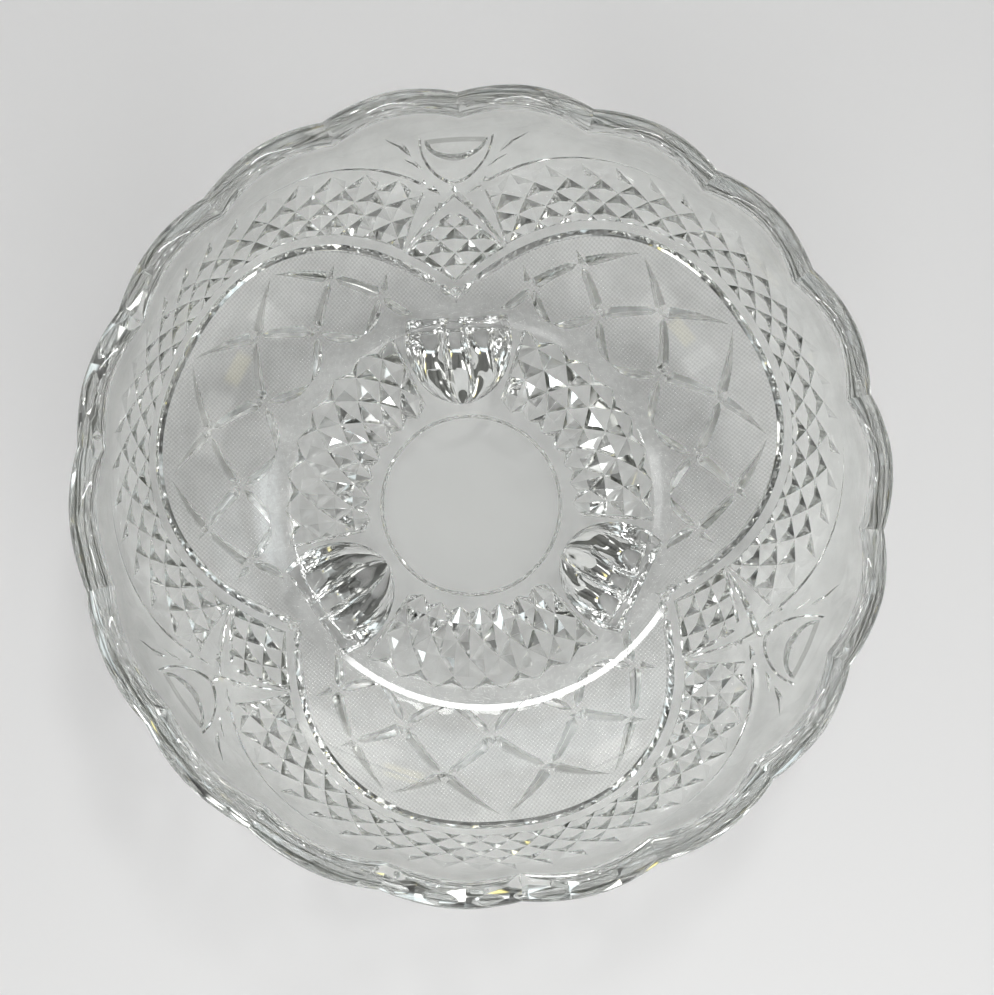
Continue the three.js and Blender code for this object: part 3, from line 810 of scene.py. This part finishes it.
grains = {
    "woven": on_mould & (spot_run > SQUARES_RUN) & (off_ring < -RING_HALF),
    "hammered": on_mould & (spot_run < SQUARES_RUN),
    "shaded_cut": in_cut & (in_medallion | (in_hollow & ~on_floor)),
    "blotched": spot_radius > BLOTCHED_RADIUS,
}
for name, part in grains.items():
    grain = bowl.data.attributes.new(name, "FLOAT", "POINT")
    grain.data.foreach_set("value", part.astype(float))

# Glass: clear and colourless, fire-polished. Lamps reach the table through it, dimmed a little,
# and more where the glass stands steeply in their way.
GLASS_INDEX = 1.52
THREAD_GAP = 0.00055
WEAVE_DEPTH = 0.04
DENT_DEPTH = 0.12
EDGE_RADIUS = 0.00009
glass = bpy.data.materials.new("clear_pressed_glass")
glass.use_nodes = True
nodes, links = glass.node_tree.nodes, glass.node_tree.links
clear = nodes["Principled BSDF"]
clear.inputs["Roughness"].default_value = 0.0
clear.inputs["IOR"].default_value = GLASS_INDEX
clear.inputs["Transmission Weight"].default_value = 1.0
spot = nodes.new("ShaderNodeTexCoord").outputs["Object"]


def where(name):
    """The part of the mesh that carries the grain of that name."""
    there = nodes.new("ShaderNodeAttribute")
    there.attribute_name = name
    return there.outputs["Fac"]


def bumpy_where(name, pattern, depth, below):
    """A bump of the given depth in millimetres, where the mesh carries that grain."""
    full = nodes.new("ShaderNodeMath")
    full.operation = "GREATER_THAN"
    full.inputs[1].default_value = 0.95
    links.new(where(name), full.inputs[0])
    bump = nodes.new("ShaderNodeBump")
    bump.inputs["Distance"].default_value = depth / 1000
    links.new(full.outputs["Value"], bump.inputs["Strength"])
    links.new(pattern, bump.inputs["Height"])
    links.new(below, bump.inputs["Normal"])
    return bump.outputs["Normal"]


def greyer_where(name, pattern, span, tones, below):
    """Multiplies a colour by tones that run from one to the other over the span of a pattern,
    where the mesh carries that grain."""
    level = nodes.new("ShaderNodeMapRange")
    links.new(pattern, level.inputs["Value"])
    level.inputs["From Min"].default_value, level.inputs["From Max"].default_value = span
    level.inputs["To Min"].default_value, level.inputs["To Max"].default_value = tones
    grey = nodes.new("ShaderNodeMix")
    grey.data_type, grey.blend_type = "RGBA", "MULTIPLY"
    links.new(where(name), grey.inputs["Factor"])
    links.new(below, grey.inputs["A"])
    links.new(level.outputs["Result"], grey.inputs["B"])
    return grey.outputs["Result"]


def fine_noise(scale, detail, roughness=0.5):
    speckle = nodes.new("ShaderNodeTexNoise")
    speckle.inputs["Scale"].default_value = scale
    speckle.inputs["Detail"].default_value = detail
    speckle.inputs["Roughness"].default_value = roughness
    links.new(spot, speckle.inputs["Vector"])
    return speckle.outputs["Fac"]


def ramp(tree, value, *stops):
    """Colours between stops, each a place and a colour."""
    made = tree.nodes.new("ShaderNodeValToRGB")
    ends = made.color_ramp.elements
    for end, (place, colour) in zip(ends, (stops[0], stops[-1])):
        end.position, end.color = place, (*colour, 1)
    for place, colour in stops[1:-1]:
        ends.new(place).color = (*colour, 1)
    tree.links.new(value, made.inputs["Fac"])
    return made.outputs["Color"]


weave = nodes.new("ShaderNodeMath")
weave.operation = "ADD"
for socket, angle in zip(weave.inputs, (45, -45)):
    lay = nodes.new("ShaderNodeMapping")
    lay.inputs["Rotation"].default_value = (0, 0, math.radians(angle))
    links.new(spot, lay.inputs["Vector"])
    thread = nodes.new("ShaderNodeTexWave")
    thread.inputs["Scale"].default_value = 2 * math.pi / THREAD_GAP / 20
    thread.inputs["Distortion"].default_value = 0.6
    thread.inputs["Detail"].default_value = 1.0
    links.new(lay.outputs["Vector"], thread.inputs["Vector"])
    links.new(thread.outputs["Fac"], socket)
woven = weave.outputs["Value"]
dents = fine_noise(1100, 1.0)
blotches = fine_noise(150, 5.0, 0.65)
soft_edges = nodes.new("ShaderNodeBevel")
soft_edges.samples = 3
soft_edges.inputs["Radius"].default_value = EDGE_RADIUS
bumps = bumpy_where("woven", woven, WEAVE_DEPTH, soft_edges.outputs["Normal"])
bumps = bumpy_where("hammered", dents, DENT_DEPTH, bumps)
links.new(bumps, clear.inputs["Normal"])

# The colour of the clear glass and that of its shadow, both by how steeply they are looked
# through. The glass colour is greyed where it is looked through steeply, painted shade for the
# light that steep glass loses, and the cuts are greyed with painted shade.
edge_on = nodes.new("ShaderNodeLayerWeight")
edge_on.inputs["Blend"].default_value = 0.5
facing = edge_on.outputs["Facing"]
# Painted shade: the glass is greyed where it is looked through steeply, down to 0.42 edge-on.
body = ramp(
    glass.node_tree,
    facing,
    (0, (0.94, 0.955, 0.935)),
    (0.3, (0.92, 0.92 * 1.015, 0.92 * 0.99)),
    (0.55, (0.66, 0.66 * 1.015, 0.66 * 0.99)),
    (1, (0.42, 0.43, 0.41)),
)
body = greyer_where("woven", woven, (0.4, 1.6), (0.8, 1.08), body)
body = greyer_where("hammered", dents, (0.35, 0.6), (0.9, 1.0), body)
body = greyer_where("blotched", blotches, (0.38, 0.58), (0.88, 1.0), body)
# Painted shade in the cuts: their colour and their reflection are greyed to about 0.45.
cut_shade = ramp(glass.node_tree, where("shaded_cut"), (0.04, (1, 1, 1)), (0.3, (0.45, 0.45, 0.435)))
tinted = nodes.new("ShaderNodeMix")
tinted.data_type, tinted.blend_type = "RGBA", "MULTIPLY"
tinted.inputs["Factor"].default_value = 1.0
links.new(body, tinted.inputs["A"])
links.new(cut_shade, tinted.inputs["B"])
links.new(tinted.outputs["Result"], clear.inputs["Base Color"])
links.new(cut_shade, clear.inputs["Specular Tint"])
greys = ((0, 1), (0.3, 0.9), (0.6, 0.57), (1, 0.25))
dimmed = ramp(glass.node_tree, facing, *((place, (tone,) * 3) for place, tone in greys))
dimmed = greyer_where("blotched", blotches, (0.36, 0.62), (0.86, 1.14), dimmed)
passing = nodes.new("ShaderNodeBsdfTransparent")
links.new(dimmed, passing.inputs["Color"])
lit_through = nodes.new("ShaderNodeMixShader")
glass_path = nodes.new("ShaderNodeLightPath")
links.new(glass_path.outputs["Is Shadow Ray"], lit_through.inputs["Fac"])
links.new(clear.outputs["BSDF"], lit_through.inputs[1])
links.new(passing.outputs["BSDF"], lit_through.inputs[2])
links.new(lit_through.outputs["Shader"], nodes["Material Output"].inputs["Surface"])
bowl.data.materials.clear()
bowl.data.materials.append(glass)

# Table: a plain pale top that keeps the bowl's soft shadow, and fades into the plain backdrop far
# from the bowl, where only the camera sees it.
TABLE_REACH, TABLE_TOP = 3.0, -0.0001
TABLE_COLOUR = (0.78, 0.78, 0.775, 1)
BACKDROP = (0.6, 0.6, 0.595, 1)
FADE_FROM, FADE_TO = 0.35, 0.9
table = bpy.data.meshes.new("table_top")
corners = [Vector((x, y, 0)) * TABLE_REACH for x, y in ((-1, -1), (1, -1), (1, 1), (-1, 1))]
table.from_pydata([(x, y, TABLE_TOP) for x, y, _ in corners], [], [(0, 1, 2, 3)])
table_top = bpy.data.objects.new("table_top", table)
bpy.context.scene.collection.objects.link(table_top)
paint = bpy.data.materials.new("pale_table")
paint.use_nodes = True
top_nodes, top_links = paint.node_tree.nodes, paint.node_tree.links
matt = top_nodes["Principled BSDF"]
matt.inputs["Base Color"].default_value = TABLE_COLOUR
matt.inputs["Roughness"].default_value = 0.6
distance = top_nodes.new("ShaderNodeVectorMath")
distance.operation = "LENGTH"
top_links.new(top_nodes.new("ShaderNodeTexCoord").outputs["Object"], distance.inputs[0])
away = top_nodes.new("ShaderNodeMapRange")
away.interpolation_type = "SMOOTHSTEP"
away.inputs["From Min"].default_value = FADE_FROM
away.inputs["From Max"].default_value = FADE_TO
top_links.new(distance.outputs["Value"], away.inputs["Value"])
seen = top_nodes.new("ShaderNodeMath")
seen.operation = "MULTIPLY"
top_links.new(away.outputs["Result"], seen.inputs[0])
top_links.new(top_nodes.new("ShaderNodeLightPath").outputs["Is Camera Ray"], seen.inputs[1])
plain_tone = top_nodes.new("ShaderNodeEmission")
plain_tone.inputs["Color"].default_value = BACKDROP
fade = top_nodes.new("ShaderNodeMixShader")
top_links.new(seen.outputs["Value"], fade.inputs["Fac"])
top_links.new(matt.outputs["BSDF"], fade.inputs[1])
top_links.new(plain_tone.outputs["Emission"], fade.inputs[2])
top_links.new(fade.outputs["Shader"], top_nodes["Material Output"].inputs["Surface"])
table.materials.append(paint)

# Room: walls that are darker near the table than overhead, with soft windows in them. It shows
# only in reflections. Straight on, and straight through the glass, there is a plain backdrop.
CLUTTER_STRETCH = (7, 7, 1.6)
WARM = (1.0, 0.86, 0.3)
PLAIN = (1.0, 1.0, 1.0)
PALE = (1.0, 1.0, 0.97)

# Each window has its azimuth, its elevation, its width, its height and how soft its edges are,
# all in degrees but the last, then its colour and how bright it is.
WINDOWS = (
    ((-5, 30, 50, 20, 0.3), (0.86, 0.96, 1.0), 1.2),
    ((75, 28, 30, 16, 0.35), (0.88, 0.97, 1.0), 0.8),
    ((-110, 30, 30, 16, 0.35), (0.92, 0.98, 1.0), 0.5),
    ((84, 48, 16, 12, 0.3), (0.9, 0.97, 1.0), 2.5),
    ((25, 70, 14, 9, 0.25), PLAIN, 3.0),
    ((75, 70, 12, 9, 0.25), PLAIN, 3.0),
    ((138, 70, 10, 8, 0.25), PLAIN, 2.6),
    ((190, 71, 12, 8, 0.25), PLAIN, 2.6),
    ((-80, 70, 12, 9, 0.25), PLAIN, 3.0),
    ((24, 11, 7, 8, 0.3), WARM, 1.7),
    ((235, 29, 6, 7, 0.3), WARM, 1.7),
    ((116, 20, 6, 8, 0.3), WARM, 1.7),
    ((-17, 13, 10, 14, 0.25), PALE, 2.4),
    ((35, 14, 18, 20, 0.25), PALE, 2.4),
    ((-62, 8, 30, 12, 0.3), PALE, 1.4),
    ((104, 18, 12, 14, 0.25), PALE, 1.8),
    ((128, 20, 5, 22, 0.25), PALE, 1.8),
    ((226, 28, 6, 16, 0.25), PALE, 1.6),
    ((243, 30, 4, 16, 0.25), PALE, 1.6),
)

# One thin bright strip at an even height makes the white arc in the inside of the bowl.
STRIP_LEVEL = 50.5
STRIP_EDGES = (1.1, 1.6)
STRIP_ENDS = (42, 48)
STRIP_SHINE = 16
world = bpy.data.worlds.new("room")
bpy.context.scene.world = world
world.use_nodes = True
world.cycles_visibility.diffuse = False
room, wire = world.node_tree.nodes, world.node_tree.links
direction = room.new("ShaderNodeTexCoord").outputs["Generated"]


def towards(azimuth, elevation):
    a, e = math.radians(azimuth), math.radians(elevation)
    return Vector((math.sin(a) * math.cos(e), math.cos(a) * math.cos(e), math.sin(e)))


def sums(operation, *terms):
    """A math node of the room, fed with numbers or outputs."""
    node = room.new("ShaderNodeMath")
    node.operation = operation
    for socket, term in zip(node.inputs, terms):
        if isinstance(term, (int, float)):
            socket.default_value = term
        else:
            wire.new(term, socket)
    return node.outputs[0]


def share_towards(axis):
    """How much of the direction points along an axis."""
    node = room.new("ShaderNodeVectorMath")
    node.operation = "DOT_PRODUCT"
    wire.new(direction, node.inputs[0])
    node.inputs[1].default_value = axis
    return node.outputs["Value"]


def faded(value, full, gone):
    """1 up to full, and 0 from gone on."""
    node = room.new("ShaderNodeMapRange")
    node.interpolation_type = "SMOOTHSTEP"
    wire.new(value, node.inputs["Value"])
    node.inputs["From Min"].default_value = full
    node.inputs["From Max"].default_value = gone
    node.inputs["To Min"].default_value = 1.0
    node.inputs["To Max"].default_value = 0.0
    return node.outputs["Result"]


def soft_window(azimuth, elevation, wide, tall, soft):
    """How much of a window with soft edges shows in a direction. Sizes are in degrees."""
    ahead = towards(azimuth, elevation)
    right = towards(azimuth + 90, 0)
    up = right.cross(ahead)
    depth = sums("MAXIMUM", share_towards(ahead), 0.01)
    parts = [faded(depth, 0.3, 0.1)]
    for axis, size in ((right, wide), (up, tall)):
        off = sums("ABSOLUTE", sums("DIVIDE", share_towards(axis), depth))
        half = math.tan(math.radians(size / 2))
        parts.append(faded(off, half * (1 - soft), half * (1 + soft)))
    return sums("MULTIPLY", sums("MULTIPLY", parts[0], parts[1]), parts[2])


def lit(below, where_lit, colour):
    """Adds a colour to the room where something bright is."""
    added = room.new("ShaderNodeMix")
    added.data_type, added.blend_type = "RGBA", "ADD"
    wire.new(where_lit, added.inputs["Factor"])
    wire.new(below, added.inputs["A"])
    added.inputs["B"].default_value = (*colour, 1)
    return added.outputs["Result"]


upwards = room.new("ShaderNodeSeparateXYZ")
wire.new(direction, upwards.inputs[0])
walls = ramp(
    world.node_tree,
    upwards.outputs["Z"],
    (0, (0.09, 0.092, 0.085)),
    (0.25, (0.12, 0.12, 0.12 * 0.98)),
    (0.55, (0.18, 0.18, 0.18 * 0.98)),
    (0.85, (0.3, 0.3, 0.3 * 0.98)),
    (1, (0.34, 0.34, 0.335)),
)
stretched = room.new("ShaderNodeVectorMath")
stretched.operation = "MULTIPLY"
wire.new(direction, stretched.inputs[0])
stretched.inputs[1].default_value = CLUTTER_STRETCH
clutter = room.new("ShaderNodeTexNoise")
clutter.inputs["Scale"].default_value = 1.0
clutter.inputs["Detail"].default_value = 3.0
wire.new(stretched.outputs["Vector"], clutter.inputs["Vector"])
clutter_tone = room.new("ShaderNodeMapRange")
wire.new(clutter.outputs["Fac"], clutter_tone.inputs["Value"])
for socket, value in (("From Min", 0.35), ("From Max", 0.65), ("To Min", 0.35), ("To Max", 1.9)):
    clutter_tone.inputs[socket].default_value = value
cluttered = room.new("ShaderNodeVectorMath")
cluttered.operation = "SCALE"
wire.new(walls, cluttered.inputs[0])
wire.new(clutter_tone.outputs["Result"], cluttered.inputs["Scale"])
light = cluttered.outputs["Vector"]
for place, tint, shine in WINDOWS:
    light = lit(light, soft_window(*place), [c * shine for c in tint])
level = sums("ARCSINE", upwards.outputs["Z"])
off_level = sums("ABSOLUTE", sums("SUBTRACT", level, math.radians(STRIP_LEVEL)))
ahead = sums("DIVIDE", share_towards(towards(0, 0)), sums("COSINE", level))
strip = sums(
    "MULTIPLY",
    faded(off_level, *(math.radians(a) for a in STRIP_EDGES)),
    faded(ahead, *(math.cos(math.radians(a)) for a in STRIP_ENDS)),
)
light = lit(light, strip, [STRIP_SHINE] * 3)
room_path = room.new("ShaderNodeLightPath")
bounces, passed = room_path.outputs["Ray Depth"], room_path.outputs["Transmission Depth"]
straight = sums("COMPARE", bounces, passed, 1.5)
backdrop = room.new("ShaderNodeMix")
backdrop.data_type = "RGBA"
wire.new(straight, backdrop.inputs["Factor"])
wire.new(light, backdrop.inputs["A"])
backdrop.inputs["B"].default_value = BACKDROP
wire.new(backdrop.outputs["Result"], room["Background"].inputs["Color"])

# Lamps: soft ones that light the table without showing in the glass, and small ones that glint.
# Each has its azimuth, elevation, distance, width, height and how bright its face is.
SOFT_LAMPS = (
    ("fill_lamp", 175, 42, 0.55, 0.35, 0.35, 4.9),
    ("ceiling_lamp", 0, 90, 1.6, 2.4, 2.4, 0.46),
    ("window_lamp", 14, 62, 1.4, 0.16, 0.16, 68.0),
)
GLINTS = (
    ("rim_lamp", -35, 73, 1.5, 0.06, 0.06, 60),
    ("left_lamp", -100, 74, 1.5, 0.05, 0.05, 60),
    ("right_lamp", 70, 73, 1.5, 0.05, 0.05, 60),
    ("low_lamp", 170, 74, 1.5, 0.05, 0.05, 60),
)


def lamp(name, azimuth, elevation, distance, wide, tall, shine):
    """A rectangular lamp that faces the bowl."""
    data = bpy.data.lights.new(name, "AREA")
    data.shape, data.size, data.size_y = "RECTANGLE", wide, tall
    data.energy = shine * math.pi * wide * tall
    made = bpy.data.objects.new(name, data)
    made.location = towards(azimuth, elevation) * distance
    made.rotation_euler = (-made.location).to_track_quat("-Z", "Y").to_euler()
    bpy.context.scene.collection.objects.link(made)
    return made


for values in SOFT_LAMPS:
    hidden = lamp(*values)
    hidden.visible_glossy = False
    hidden.visible_transmission = False
    hidden.data.cycles.use_multiple_importance_sampling = False
for values in GLINTS:
    lamp(*values)

# Camera: over the bowl, a little to the left of it and nearer the lower feet. Its view of the
# glass takes many bounces, and the table's light comes straight through the bowl.
SENSOR = 36
FOCAL_PIXELS = 1850
PICTURE_HEIGHT = 995
camera = bpy.data.objects.new("camera", bpy.data.cameras.new("camera"))
bpy.context.scene.collection.objects.link(camera)
camera.data.sensor_width = SENSOR
camera.data.lens = SENSOR * FOCAL_PIXELS / PICTURE_HEIGHT
camera.data.clip_start = 0.02
camera.location = (-0.03129, -0.02254, 0.33469)
roll, nod, lean = (
    Matrix.Rotation(math.radians(angle), 4, axis)
    for angle, axis in ((-4.15, "Z"), (4.64, "X"), (-6.03, "Y"))
)
camera.rotation_euler = (roll @ nod @ lean).to_euler()
scene = bpy.context.scene
scene.camera = camera
scene.view_settings.view_transform = "Standard"
scene.cycles.max_bounces = 24
scene.cycles.caustics_refractive = False
scene.cycles.caustics_reflective = False
scene.cycles.transmission_bounces = 24
scene.cycles.glossy_bounces = 12
scene.cycles.transparent_max_bounces = 24
